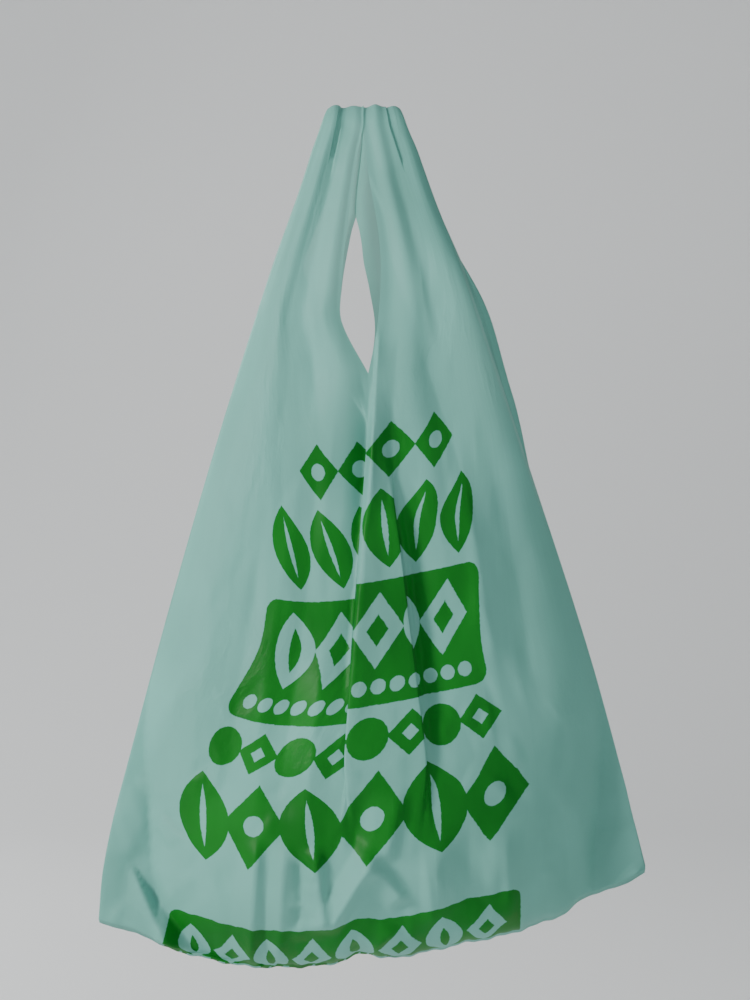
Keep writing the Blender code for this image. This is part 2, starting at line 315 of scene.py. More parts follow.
@dataclass
class FilmSurface:
    """The film as rows of points down the bag, one grid for each quarter.

    Attributes:
        creases: sharp folds of each panel.
        sizes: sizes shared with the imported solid.
        row_step: spacing of rows down the upper film.
        low_row_step: spacing of rows in the lower body.
        foot_rows: rows from the belly to the foot seal.
        fold_columns: control columns across the box pleat.
        panel_columns: control columns from the middle of a panel to its side edge.
        gusset_columns: control columns across a gusset.
        fold_share: share of a half panel that the pleat's columns take where it is open.
        fold_steps: fine columns between two control columns in the box pleat.
        panel_steps: the same beside the pleat.
        gusset_steps: the same in a gusset.
        hook_steps: rows over the hook.
    """

    creases: dict[Face, tuple[Crease, ...]]
    sizes: BagSizes = BagSizes()
    row_step: float = 0.0029
    low_row_step: float = 0.0017
    foot_rows: int = 64
    fold_columns: int = 7
    panel_columns: int = 16
    gusset_columns: int = 4
    fold_share: float = 0.21
    fold_steps: int = 3
    panel_steps: int = 8
    gusset_steps: int = 2
    hook_steps: int = 18

    def __post_init__(self) -> None:
        """Lay out the rows and the fine columns that every quarter shares."""
        s = self.sizes
        first = s.top_rise + s.hook_radius
        upper = round((s.ears_start - first) / self.row_step)
        lower = round((s.belly_drop - s.ears_start) / self.low_row_step)
        drops = np.linspace(first, s.ears_start, upper + 1)
        drops = np.concatenate([drops, np.linspace(s.ears_start, s.belly_drop, lower + 1)[1:]])
        nearest = [int(np.argmin(np.abs(drops - mark))) for mark in (s.armhole_drop, s.slit_drop)]
        drops[nearest] = (s.armhole_drop, s.slit_drop)
        closing = np.linspace(0.0, 1.0, self.foot_rows + 1)[1:]
        foot = mix(s.belly_drop, s.foot_drop, closing)
        self.drop = np.concatenate([drops, foot, foot[-1:]])
        self.closing = np.concatenate([np.zeros(len(drops)), closing, [1.0]])
        self.fallen = np.sin(0.5 * math.pi * self.closing)
        self.sealed = np.zeros(len(self.drop))
        self.sealed[-1] = 1.0
        steps = [self.fold_steps] * self.fold_columns
        steps += [self.panel_steps] * (self.panel_columns - self.fold_columns)
        steps += [self.gusset_steps] * self.gusset_columns
        fine = [column + i / count for column, count in enumerate(steps) for i in range(count)]
        self.columns = np.array(fine + [len(steps)], dtype=float)

    def fallen_to(self, foot, fallen: np.ndarray, drop: np.ndarray) -> np.ndarray:
        """Drop of each row, round a quarter of an ellipse from the belly to the foot."""
        return np.where(fallen > 0.0, mix(self.sizes.belly_drop, foot, fallen), drop)

    def back_peek(self, side: Side) -> np.ndarray:
        """How far the back panel shows past the front one, for every row."""
        s = self.sizes
        shown = ease(s.peek_starts, s.peek_full, self.drop)
        return side.of(s.back_peek) * (shown - ease(s.peek_fades, s.peek_gone, self.drop))

    def side_edge(self, face: Face, side: Side) -> np.ndarray:
        """Place across the bag of the side edge of a panel, for every row."""
        s = self.sizes
        foot = side.of(s.ear_drop)
        share = self.fallen_to(foot, self.fallen, self.drop) / foot
        bow = side.of(s.edge_bow) * through(EDGE_BOW_CURVES[side], share)
        edge = mix(side.of(s.gather), side.of(s.ear), share) + bow
        if face is Face.BACK:
            edge = edge + self.back_peek(side)
        return side.value * edge

    def slit_edge(self, face: Face, side: Side, drop):
        """Place across the bag of one edge of the mouth slit at each drop."""
        s = self.sizes
        back = face is Face.BACK
        top = s.slit_top_back if back else s.slit_top_front
        top_x = s.slit_top_x_back if back else 0.0
        share = np.clip((np.asarray(drop, dtype=float) - top) / (s.slit_drop - top), 0.0, 1.0)
        centre = mix(top_x * ease(s.hook_radius, top, drop), 0.5 * s.ridge_top_x, share)
        lapped = s.slit_lap * (1.0 - ease(0.0, s.slit_lap_fades, share))
        opened = s.slit_width * through(SLIT_CURVES[face, side], share)
        return centre + side.value * (opened - lapped)

    def ridge_edge(self, side: Side) -> np.ndarray:
        """Place across the bag of one edge of the box pleat, for every row."""
        s = self.sizes
        share = (self.drop - s.ridge_top) / (s.belly_drop - s.ridge_top)
        return mix(s.ridge_top_x, side.of(s.ridge_foot), share)

    def ridge_overlap(self, side: Side) -> np.ndarray:
        """How far the box pleat covers the film beside it, for every row."""
        s = self.sizes
        drops = (s.ridge_top, s.overlap_starts, s.overlap_drop, s.pleat_opens, s.belly_drop)
        return side.of(s.overlap) * through(tuple(zip(drops, OVERLAP_SHARES)), self.drop)

    def fold_strength(self, side: Side) -> np.ndarray:
        """1 where the box pleat lies folded flat and 0 where it has opened out."""
        s = self.sizes
        shut = ease(side.of(s.pleat_shuts), side.of(s.pleat_shut), self.drop)
        return shut * (1.0 - ease(s.pleat_opens, s.pleat_gone, self.drop))

    def middle_line(self, face: Face) -> np.ndarray:
        """Place across the bag of the line where the quarters of a panel meet."""
        s = self.sizes
        centre = 0.5 * (self.ridge_edge(Side.LEFT) + self.ridge_edge(Side.RIGHT))
        if face is Face.BACK:
            centre = centre * ease(s.gusset_body, s.belly_drop, self.drop)
        slit_foot = self.slit_edge(face, Side.RIGHT, s.slit_drop)
        return mix(slit_foot, centre, ease(s.slit_drop, s.middle_settles, self.drop))

    def foot_line(self, across: np.ndarray) -> np.ndarray:
        """Drop of the foot seal at each place across the bag."""
        share = np.where(across > 0.0, across / self.sizes.ear[1], across / self.sizes.ear[0])
        ripple = sum(high * np.sin(across * waves + shift) for high, waves, shift in FOOT_RIPPLES)
        return through(FOOT_CURVE, share) + ripple * (1.0 - share**4)

    def panel_depth(self, share) -> np.ndarray:
        """Depth of a panel off the middle plane, with no pleats.

        Args:
            share: 0 at the middle of the panel and 1 at its side edge.

        Returns:
            Depth of each point, in rows.
        """
        s, drop, closing = self.sizes, self.drop[:, None], self.closing[:, None]
        middle = mix(s.leg_depth, s.body_depth, np.minimum(drop / s.belly_drop, 1.0))
        edge = mix(s.leg_depth, s.edge_depth, ease(0.0, s.armhole_drop, drop))
        edge = mix(edge, s.seal_depth, ease(s.edge_thins, s.edge_thin, drop))
        body_reach = mix(1.0, s.ear_reach, ease(s.ears_start, s.ears_full, drop))
        reach = np.minimum(np.abs(share) / body_reach, 1.0)
        crown = (1.0 - reach**s.crown_spread) ** s.crown_round
        depth = mix(edge, np.maximum(middle, edge), crown)
        return mix(np.minimum(depth, s.seal_depth), depth, np.cos(0.5 * math.pi * closing))

    def pleats(self, face: Face, side: Side, share) -> np.ndarray:
        """Height of the soft pleats that fan out from the gather."""
        s, drop = self.sizes, self.drop[:, None]
        if face is Face.BACK:
            waves, shift = BACK_PLEATS
            shape = 0.5 + 0.5 * np.cos(2.0 * math.pi * (waves * share + shift))
        else:
            shape = through(PLEAT_CURVES[side], share)
        raised = through(PLEAT_HEIGHTS, drop) * shape
        if side is Side.LEFT:
            beside_slit = 1.0 - ease(0.0, s.slit_lap_width, share)
            above_foot = 1.0 - ease(s.slit_lap_full, s.slit_drop, drop)
            raised = raised + s.slit_lap * (beside_slit * above_foot)
        return raised

    def control_rows(self, face: Face, side: Side) -> dict[str, np.ndarray]:
        """Control columns of every row of a quarter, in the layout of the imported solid.

        Args:
            face: panel the quarter belongs to.
            side: half of the panel.

        Returns:
            Rows by columns of across, lift in layers and inner turn, and rows of edge and start.
        """
        s, drop, sign = self.sizes, self.drop, side.value
        edge = self.side_edge(face, side)
        open_edge = self.slit_edge(face, side, drop)
        start = np.where(drop < s.slit_drop, open_edge, self.middle_line(face))
        turn = sign * 0.5 * s.layer_pitch
        bunched = ease(s.bunch_starts, s.slit_drop, drop)
        crest = np.maximum(*[self.fold_strength(which) for which in Side])
        if face is Face.BACK:
            crest = np.zeros_like(drop)
        last, folds = self.panel_columns - 1, self.fold_columns
        across = np.zeros((len(drop), self.panel_columns + self.gusset_columns + 1))
        lift, inner = np.zeros_like(across), np.zeros_like(across)
        for column in range(self.panel_columns):
            if column <= folds:
                share = self.fold_share * column / folds
                lift[:, column] = 2.0 * crest * (1.0 - ease(0, folds, column))
            else:
                share = mix(self.fold_share, 1.0, (column - folds) / (last - folds))
            across[:, column] = mix(start, edge - turn, mix(column / last, share, bunched))
        if face is Face.FRONT:
            folded = self.fold_strength(side)
            fold = self.ridge_edge(side)
            back = fold - sign * self.ridge_overlap(side)
            layers = (
                (start, 2.0), (mix(start, fold - turn, 0.5), 2.0), (fold - turn, 2.0), (fold, 1.5),
                (fold - turn, 1.0), (back + turn, 1.0), (back, 0.5), (back + turn, 0.0),
            )
            outer = across[:, last].copy()
            for column in range(folds + 1, self.panel_columns):
                share = (column - folds) / (last - folds)
                across[:, column] = mix(across[:, column], mix(back + turn, outer, share), folded)
            for column, (place, layer) in enumerate(layers):
                across[:, column] = mix(across[:, column], place, folded)
                lift[:, column] = mix(lift[:, column], crest * layer, folded)
        across[:, self.panel_columns] = edge
        inner[:, self.panel_columns] = s.edge_turns_in
        inner[:, self.panel_columns + 1 :] = s.gusset_turns_in
        inward = self.gusset_depth() + 0.5 * face.value * self.back_peek(side)
        ways = (0.5 * s.layer_pitch, 0.5 * inward, inward - 0.5 * s.layer_pitch, inward)
        for index, way in enumerate(ways):
            across[:, self.panel_columns + 1 + index] = edge - sign * way
        return {"across": across, "lift": lift, "inner": inner, "edge": edge, "start": start}

    def gusset_depth(self) -> np.ndarray:
        """How far the gusset is folded in from the side edge, for every row."""
        s = self.sizes
        curve = (
            (s.armhole_drop, s.gusset_at_armhole), (s.gusset_body, s.gusset_at_body),
            (s.gusset_low, s.gusset_at_body), (s.gusset_ear, s.gusset_at_ear),
        )
        return through(curve, self.drop)

    def spread(self, control: np.ndarray) -> np.ndarray:
        """Smooth curve through control columns, read at the fine columns."""
        span = np.clip(np.floor(self.columns).astype(int), 0, control.shape[1] - 2)
        slope = np.empty_like(control)
        slope[:, [0, -1]] = np.diff(control, axis=1)[:, [0, -1]]
        slope[:, 1:-1] = 0.5 * (control[:, 2:] - control[:, :-2])
        ends = (control[:, span], control[:, span + 1], slope[:, span], slope[:, span + 1])
        return cubic(*ends, self.columns - span)

    def film_down(self) -> np.ndarray:
        """Length of film from the top of the gather to each row, down the middle."""
        s = self.sizes
        ahead = self.panel_depth(0.0)[:, 0] * (1.0 - self.sealed)
        reached = self.fallen_to(s.foot_drop, self.fallen, self.drop) + self.sealed * s.seal_turn
        steps = np.hypot(np.diff(ahead), np.diff(reached))
        return self.drop[0] + np.concatenate([[0.0], np.cumsum(steps)])

    def quarter(self, face: Face, side: Side) -> dict[str, np.ndarray]:
        """Points of one quarter of the film.

        Args:
            face: panel the quarter belongs to.
            side: half of the panel.

        Returns:
            Arrays of rows by fine columns: points and the place on the flat film.
        """
        s = self.sizes
        rows = self.control_rows(face, side)
        drop, closing, sealed = self.drop[:, None], self.closing[:, None], self.sealed[:, None]
        fallen = self.fallen[:, None]
        across = self.spread(rows["across"])
        lift = self.spread(rows["lift"]) * s.pleat_pitch
        inner = self.spread(rows["inner"]) * s.layer_pitch
        start, edge = rows["start"][:, None], rows["edge"][:, None]
        share = (across - start) / (edge - start)
        panel = self.panel_depth(share) + self.pleats(face, side, np.clip(share, 0.0, 1.0))
        edge_depth = self.panel_depth(1.0) + self.pleats(face, side, 1.0)

        beyond = self.columns[None, :] - self.panel_columns
        gusset = np.clip(beyond, 0.0, None)
        turn = 0.5 * s.layer_pitch
        hung = mix(edge_depth - s.layer_pitch, turn, np.clip((gusset - 1.0) / 2.0, 0.0, 1.0))
        hung = mix(hung, 0.0, np.clip(gusset - 3.0, 0.0, 1.0))
        hung = mix(edge_depth - turn, hung, np.clip(gusset, 0.0, 1.0))
        lying = panel - s.layer_pitch * np.clip(gusset, 0.5, 1.0)
        behind = mix(hung, lying, 1.0 - ease(s.gusset_hangs, s.armhole_drop, drop))
        turned = turn * np.clip(beyond + 1.0, 0.0, 1.0)
        depth = np.where(beyond >= 0.0, behind, panel + lift - turned)

        level = self.fallen_to(self.foot_line(across), fallen, drop)
        level = level + sealed * s.seal_turn - inner * ease(0.0, 1.0, closing)
        radius = s.fan_rise + level
        arc = radius - np.sqrt(radius**2 - across**2)
        up = s.top_rise - level + arc * ease(s.hook_radius, s.arc_full, level)

        cover = np.where(beyond >= 0.0, np.clip(behind / edge_depth, 0.0, 1.0), 1.0)
        held = (1.0 - closing**CREASE_HOLD) * cover
        nearer = CAMERA_DISTANCE / (CAMERA_DISTANCE - depth)
        seen_x = mix(PICTURE_MIDDLE[0], across, nearer)
        seen_z = mix(PICTURE_MIDDLE[1], up, nearer)
        for crease in self.creases[face]:
            depth = depth + crease.lift(seen_x, seen_z) * held
        depth = depth * (1.0 - sealed)
        points = np.stack([across, face.value * depth, up], axis=-1)
        return {"points": points, "flat": self.flat_place(face, side, rows, across)}

    def flat_place(self, face: Face, side: Side, rows: dict, across: np.ndarray) -> np.ndarray:
        """Place of each point on the film laid flat, which the print is drawn on.

        Args:
            face: panel the quarter belongs to.
            side: half of the panel.
            rows: what control_rows gave.
            across: X of each fine point.

        Returns:
            Distance across and down the flat film, and 1 on the back panel, for each point.
        """
        s, sign, fold, panel = self.sizes, side.value, self.fold_columns, self.panel_columns
        half = np.clip(0.5 * (self.ridge_edge(Side.RIGHT) - self.ridge_edge(Side.LEFT)), 0.0, None)
        steps = np.abs(np.diff(rows["across"], axis=1))
        widths = np.zeros_like(rows["across"])
        widths[:, 1 : fold + 1] = np.cumsum(steps[:, :fold], axis=1)
        used, begin = widths[:, fold], rows["across"][:, fold]
        reach = np.abs(rows["edge"] - begin)
        left_over = np.maximum(s.flat_half_width - sign * half - used, reach)
        near = s.print_stretch * reach
        for column in range(fold + 1, panel + 1):
            share = np.abs(rows["across"][:, column] - begin) / reach
            widths[:, column] = used + near * share + (left_over - near) * share**3
        for index in range(1, self.gusset_columns + 1):
            widths[:, panel + index] = widths[:, panel] + s.flat_gusset * index / self.gusset_columns
        flat = self.spread(half[:, None] + sign * widths)
        down = self.film_down()[:, None] + s.print_tilt * np.tanh(across / s.print_tilt_reach)
        if face is Face.FRONT and side is Side.LEFT:
            hidden = ease(fold - SLIP_COLUMNS, fold, self.columns)[None, :]
            beyond = np.abs(across - begin[:, None]) / reach[:, None]
            slipped = self.fold_strength(Side.LEFT)[:, None] * hidden
            down = down - s.print_slip * slipped * (1.0 - ease(s.print_slip_holds, 1.0, beyond))
        behind = np.full_like(flat, 1.0 if face is Face.BACK else 0.0)
        return np.stack([flat, down, behind], axis=-1)

    def over_hook(self, front: dict, back: dict) -> dict[str, np.ndarray]:
        """Rows that carry one handle over the hook, from its front leg to its back leg.

        Args:
            front: quarter of the front leg.
            back: quarter of the back leg.

        Returns:
            Points and places on the flat film, in the form that quarter gives.
        """
        s = self.sizes
        share = np.linspace(0.0, 1.0, self.hook_steps + 1)[:, None]
        first, last = front["points"][0][None], back["points"][0][None]
        radius = mix(-first[..., 1], last[..., 1], share)
        swing = math.pi * share
        drawn = 1.0 - s.hook_draw_in * np.sin(swing)
        across = drawn * mix(first[..., 0], last[..., 0], share)
        base = mix(first[..., 2], last[..., 2], share)
        points = np.stack([across, -radius * np.cos(swing), base + radius * np.sin(swing)], axis=-1)
        flat = mix(front["flat"][0][None], back["flat"][0][None], share[..., None])
        flat[..., 1] = s.hook_radius
        return {"points": points, "flat": flat}


@dataclass
class CarrierBag:
    """The bag of film as one mesh object."""

    surface: FilmSurface
    weld: float = 0.00001

    def mesh(self) -> bpy.types.Mesh:
        """Grids of all quarters in one mesh, welded along their shared edges."""
        verts, flats, faces = [], [], []
        offset = 0
        for side in Side:
            front = self.surface.quarter(Face.FRONT, side)
            back = self.surface.quarter(Face.BACK, side)
            for grid in (front, back, self.surface.over_hook(front, back)):
                rows, columns = grid["points"].shape[:2]
                index = np.arange(rows * columns).reshape(rows, columns) + offset
                corners = (index[:-1, :-1], index[:-1, 1:], index[1:, 1:], index[1:, :-1])
                verts.append(grid["points"].reshape(-1, 3))
                flats.append(grid["flat"].reshape(-1, 3))
                faces.append(np.stack(corners, axis=-1).reshape(-1, 4))
                offset += rows * columns
        mesh = bpy.data.meshes.new("bag_film")
        mesh.from_pydata(np.concatenate(verts).tolist(), [], np.concatenate(faces).tolist())
        place = mesh.attributes.new(FLAT_PLACE, "FLOAT_VECTOR", "POINT")
        place.data.foreach_set("vector", np.concatenate(flats).ravel())
        bm = bmesh.new()
        bm.from_mesh(mesh)
        bmesh.ops.remove_doubles(bm, verts=bm.verts, dist=self.weld)
        bmesh.ops.recalc_face_normals(bm, faces=bm.faces)
        bm.to_mesh(mesh)
        bm.free()
        mesh.shade_smooth()
        return mesh

    def build(self, material: bpy.types.Material) -> bpy.types.Object:
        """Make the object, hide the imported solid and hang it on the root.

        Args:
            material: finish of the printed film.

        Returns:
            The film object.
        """
        film = bpy.data.objects.new("bag_film", self.mesh())
        film.data.materials.append(material)
        bpy.context.scene.collection.objects.link(film)
        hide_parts(NODE)
        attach(film, "root")
        return film


class Wiring:
    """Short calls that add and link nodes in one node tree."""

    def __init__(self, tree: bpy.types.NodeTree) -> None:
        """Keep the tree."""
        self.tree = tree

    def feed(self, socket: Socket, value) -> None:
        """Link a socket, or set a plain value, on an input."""
        if isinstance(value, Socket):
            self.tree.links.new(value, socket)
        else:
            socket.default_value = value

    def node(self, kind: str, inputs: dict, **settings) -> bpy.types.Node:
        """Add a node.

        Args:
            kind: type of the node, less its first word.
            inputs: socket or value for each input, by name or by place.
            settings: properties of the node.

        Returns:
            The node.
        """
        made = self.tree.nodes.new("ShaderNode" + kind)
        for name, value in settings.items():
            setattr(made, name, value)
        for key, value in inputs.items():
            self.feed(made.inputs[key], value)
        return made

    def math(self, operation: str, *values, clamp: bool = False) -> Socket:
        """Result of a Math node on sockets or numbers."""
        inputs = dict(enumerate(values))
        return self.node("Math", inputs, operation=operation, use_clamp=clamp).outputs[0]

    def add(self, first, second) -> Socket:
        """Sum of two values."""
        return self.math("ADD", first, second)

    def less(self, first, second) -> Socket:
        """First value less the second."""
        return self.math("SUBTRACT", first, second)

    def times(self, first, second) -> Socket:
        """Product of two values."""
        return self.math("MULTIPLY", first, second)

    def size(self, value) -> Socket:
        """Value without its sign."""
        return self.math("ABSOLUTE", value)

    def length(self, x, y) -> Socket:
        """Length of the step from 0 to x and y."""
        return self.math("SQRT", self.add(self.times(x, x), self.times(y, y)))

    def step(self, value, start: float, end: float) -> Socket:
        """Smooth step of a value from 0 at start to 1 at end."""
        inputs = {"Value": value, "From Min": start, "From Max": end}
        return self.node("MapRange", inputs, interpolation_type="SMOOTHSTEP").outputs["Result"]

    def noise(self, x, y, z: float = 0.0, scale: float = 1.0, detail: float = 2.0) -> Socket:
        """Noise between 0 and 1 at a place."""
        place = self.node("CombineXYZ", {"X": x, "Y": y, "Z": z}).outputs[0]
        inputs = {"Vector": place, "Scale": scale, "Detail": detail}
        return self.node("TexNoise", inputs).outputs["Fac"]

    def blend(self, share, first, second) -> Socket:
        """Colour between two colours."""
        return self.node("Mix", {0: share, 6: first, 7: second}, data_type="RGBA").outputs[2]


def new_group(name: str, inputs: dict[str, float], outputs: tuple[str, ...]) -> tuple:
    """Start a shader node group of plain values.

    Args:
        name: name of the group.
        inputs: inputs with their defaults.
        outputs: outputs.

    Returns:
        The tree, its wiring, the sockets it is given and the sockets of its results.
    """
    tree = bpy.data.node_groups.new(name, "ShaderNodeTree")
    for label, default in inputs.items():
        socket = tree.interface.new_socket(label, in_out="INPUT", socket_type="NodeSocketFloat")
        socket.default_value = default
    for label in outputs:
        tree.interface.new_socket(label, in_out="OUTPUT", socket_type="NodeSocketFloat")
    given, results = tree.nodes.new("NodeGroupInput"), tree.nodes.new("NodeGroupOutput")
    return tree, Wiring(tree), given.outputs, results.inputs


LEAF_LEAN = 0.28
LEAF_FULLNESS = 0.92
DIAMOND_SLOPE = 0.7
BAND_ROUNDING = 0.25


def motif_group(motif: Motif) -> bpy.types.NodeTree:
    """Group whose output is negative inside one motif and positive outside."""
    inputs = {"X": 0.0, "Y": 0.0, "Half width": 0.01, "Half height": 0.01}
    tree, wire, given, results = new_group("motif_" + motif.value, inputs, ("Outside",))
    x, y, wide, high = (given[label] for label in inputs)
    if motif is LEAF:
        rise = wire.math("DIVIDE", y, high)
        bulge = wire.times(wire.less(1.0, wire.times(rise, rise)), LEAF_FULLNESS)
        leaned = wire.add(x, wire.times(y, LEAF_LEAN))
        outside = wire.less(wire.size(leaned), wire.times(wide, bulge))
    elif motif is DISC:
        outside = wire.less(wire.length(x, y), wire.math("MINIMUM", wide, high))
    elif motif is DIAMOND:
        across = wire.math("DIVIDE", wire.size(x), wide)
        shares = wire.add(across, wire.math("DIVIDE", wire.size(y), high))
        outside = wire.times(wire.less(shares, 1.0), wire.times(wide, DIAMOND_SLOPE))
    else:
        curve = wire.times(wire.math("MINIMUM", wide, high), BAND_ROUNDING)
        across = wire.less(wire.size(x), wire.less(wide, curve))
        up = wire.less(wire.size(y), wire.less(high, curve))
        corner = wire.length(wire.math("MAXIMUM", across, 0.0), wire.math("MAXIMUM", up, 0.0))
        inside = wire.math("MINIMUM", wire.math("MAXIMUM", across, up), 0.0)
        outside = wire.less(wire.add(corner, inside), curve)
    wire.feed(results["Outside"], outside)
    return tree


def row_group() -> bpy.types.NodeTree:
    """Group that finds a point's place within its own motif of a row."""
    inputs = {"Across": 0.0, "Down": 0.0, "Middle": 0.2, "Cell": 0.03}
    inputs |= {"Shift": 0.1, "Lean": 0.0, "Count": 4.0}
    tree, wire, given, results = new_group("print_row", inputs, ("X", "Y", "Within"))
    across, down, middle, cell, shift, lean, count = (given[label] for label in inputs)
    y = wire.less(middle, down)
    upright = wire.less(wire.add(across, shift), wire.times(y, lean))
    place = wire.math("FRACT", wire.math("DIVIDE", upright, cell))
    half_row = wire.times(cell, wire.times(count, 0.5))
    wire.feed(results["X"], wire.times(wire.less(place, 0.5), cell))
    wire.feed(results["Y"], y)
    within = wire.math("LESS_THAN", wire.size(wire.less(upright, half_row)), half_row)
    wire.feed(results["Within"], within)
    return tree


@dataclass(frozen=True)
class Grain:
    """Noise on the flat film: its scales across and down, its detail and its own shift."""

    across: float
    down: float
    detail: float
    shift: float


STREAKS = Grain(210.0, 9.0, 3.0, 0.0)
CRINKLES = Grain(46.0, 30.0, 4.0, 3.7)
PATCHES = Grain(16.0, 11.0, 1.0, 8.1)
FUZZ = Grain(1500.0, 1500.0, 2.0, 5.0)
CLOUD = Grain(19.0, 10.0, 4.0, 1.9)
STREAK_HEIGHT = 0.5
CRINKLE_SHARPNESS = 9.0
PATCH_EDGES = (0.50, 0.68)
FUZZ_HEIGHT = 0.10


def film_group() -> bpy.types.NodeTree:
    """Group for the film's drawn streaks, small creases, grain and cloudy thickness."""
    inputs = {"Across": 0.0, "Down": 0.0}
    tree, wire, given, results = new_group("drawn_film", inputs, ("Height", "Cloud"))

    def noise(grain: Grain) -> Socket:
        """Noise over the flat film."""
        x, y = wire.times(given["Across"], grain.across), wire.times(given["Down"], grain.down)
        return wire.noise(x, y, grain.shift, detail=grain.detail)

    streaks = wire.times(noise(STREAKS), STREAK_HEIGHT)
    crinkle = wire.size(wire.less(noise(CRINKLES), 0.5))
    crinkle = wire.less(1.0, wire.math("MULTIPLY", crinkle, CRINKLE_SHARPNESS, clamp=True))
    crinkle = wire.times(crinkle, wire.step(noise(PATCHES), *PATCH_EDGES))
    fuzz = wire.times(noise(FUZZ), FUZZ_HEIGHT)
    wire.feed(results["Height"], wire.add(wire.add(streaks, crinkle), fuzz))
    wire.feed(results["Cloud"], noise(CLOUD))
    return tree


@dataclass(frozen=True)
class FilmFinish:
    """Colours and surface values of the bare film."""

    light: Colour = (0.215, 0.540, 0.470, 1.0)
    deep: Colour = (0.190, 0.480, 0.412, 1.0)
    glow: Colour = (0.480, 0.740, 0.690, 1.0)
    cloud_edges: Pair = (0.35, 0.65)
    roughness: float = 0.48
    roughness_spread: float = 0.08
    specular: float = 0.12
    glow_share: float = 0.30
    bump_strength: float = 0.35
    bump_height: float = 0.0006


@dataclass(frozen=True)
class InkFinish:
    """Colours and surface values of the printed ink."""

    bright: Colour = (0.012, 0.225, 0.022, 1.0)
    dark: Colour = (0.009, 0.160, 0.015, 1.0)
    glow: Colour = (0.012, 0.240, 0.020, 1.0)
    cloud_edges: Pair = (0.30, 0.70)
    roughness: float = 0.40


@dataclass(frozen=True)
class PrintRow:
    """Equal motifs in a row on the flat film.

    Attributes:
        motif: shape that repeats.
        top: distance from the top of the gather to the top of the row.
        bottom: distance to the bottom of the row.
        half_width: half of the row's length.
        places: number of places in the row.
        fill: share of its place that a motif takes across.
        every: how many places lie from one motif to the next.
        first: place of the first motif.
        lean: how far a motif leans to the right for each unit up.
        cut_out: shape left bare in the middle of each motif, or None.
        cut_wide: width of the bare shape as a share of the motif's.
        cut_high: height of the bare shape as a share of the motif's.
    """

    motif: Motif
    top: float
    bottom: float
    half_width: float
    places: int
    fill: float
    every: int = 1
    first: int = 0
    lean: float = 0.0
    cut_out: Motif | None = None
    cut_wide: float = 0.4
    cut_high: float = 0.4


@dataclass(frozen=True)
class PrintBand:
    """A broad printed band with rows of motifs left bare in it."""

    top: float
    bottom: float
    half_top: float
    half_bottom: float
    bare: tuple[PrintRow, ...]


@dataclass(frozen=True)
class Print:
    """The print on the front panel, worked out from the place on the flat film."""

    rows: tuple[PrintRow, ...] = (
        PrintRow(DIAMOND, 0.1760, 0.2060, 0.053, 4, 1.02, 1, 0, 0.0, DISC, 0.34, 0.34),
        PrintRow(LEAF, 0.2110, 0.2540, 0.078, 6, 1.00, 1, 0, 0.10, LEAF, 0.13, 0.70),
        PrintRow(DISC, 0.3310, 0.3530, 0.090, 8, 1.00, 2, 0),
        PrintRow(DIAMOND, 0.3300, 0.3540, 0.090, 8, 1.12, 2, 1, 0.0, DIAMOND, 0.36, 0.36),
        PrintRow(LEAF, 0.3590, 0.4090, 0.100, 6, 1.16, 2, 0, 0.10, LEAF, 0.13, 0.70),
        PrintRow(DIAMOND, 0.3590, 0.4090, 0.100, 6, 1.16, 2, 1, 0.06, DISC, 0.32, 0.32),
    )
    bands: tuple[PrintBand, ...] = (
        PrintBand(0.2600, 0.3250, 0.083, 0.088, (
            PrintRow(LEAF, 0.2660, 0.3060, 0.076, 6, 1.00, 2, 0, 0.12, LEAF, 0.30, 0.58),
            PrintRow(DIAMOND, 0.2660, 0.3060, 0.076, 6, 1.10, 2, 1, 0.0, DIAMOND, 0.42, 0.42),
            PrintRow(DISC, 0.3115, 0.3195, 0.080, 16, 0.80),
        )),
        PrintBand(0.4460, 0.5040, 0.101, 0.106, (
            PrintRow(LEAF, 0.4530, 0.4960, 0.096, 8, 0.92, 2, 0, 0.14, LEAF, 0.26, 0.56),
            PrintRow(DIAMOND, 0.4530, 0.4960, 0.096, 8, 0.96, 2, 1, 0.0, DIAMOND, 0.40, 0.40),
        )),
    )
    edge_softness: float = 0.00022
    wobble: float = 0.0009
    wobble_scale: float = 420.0


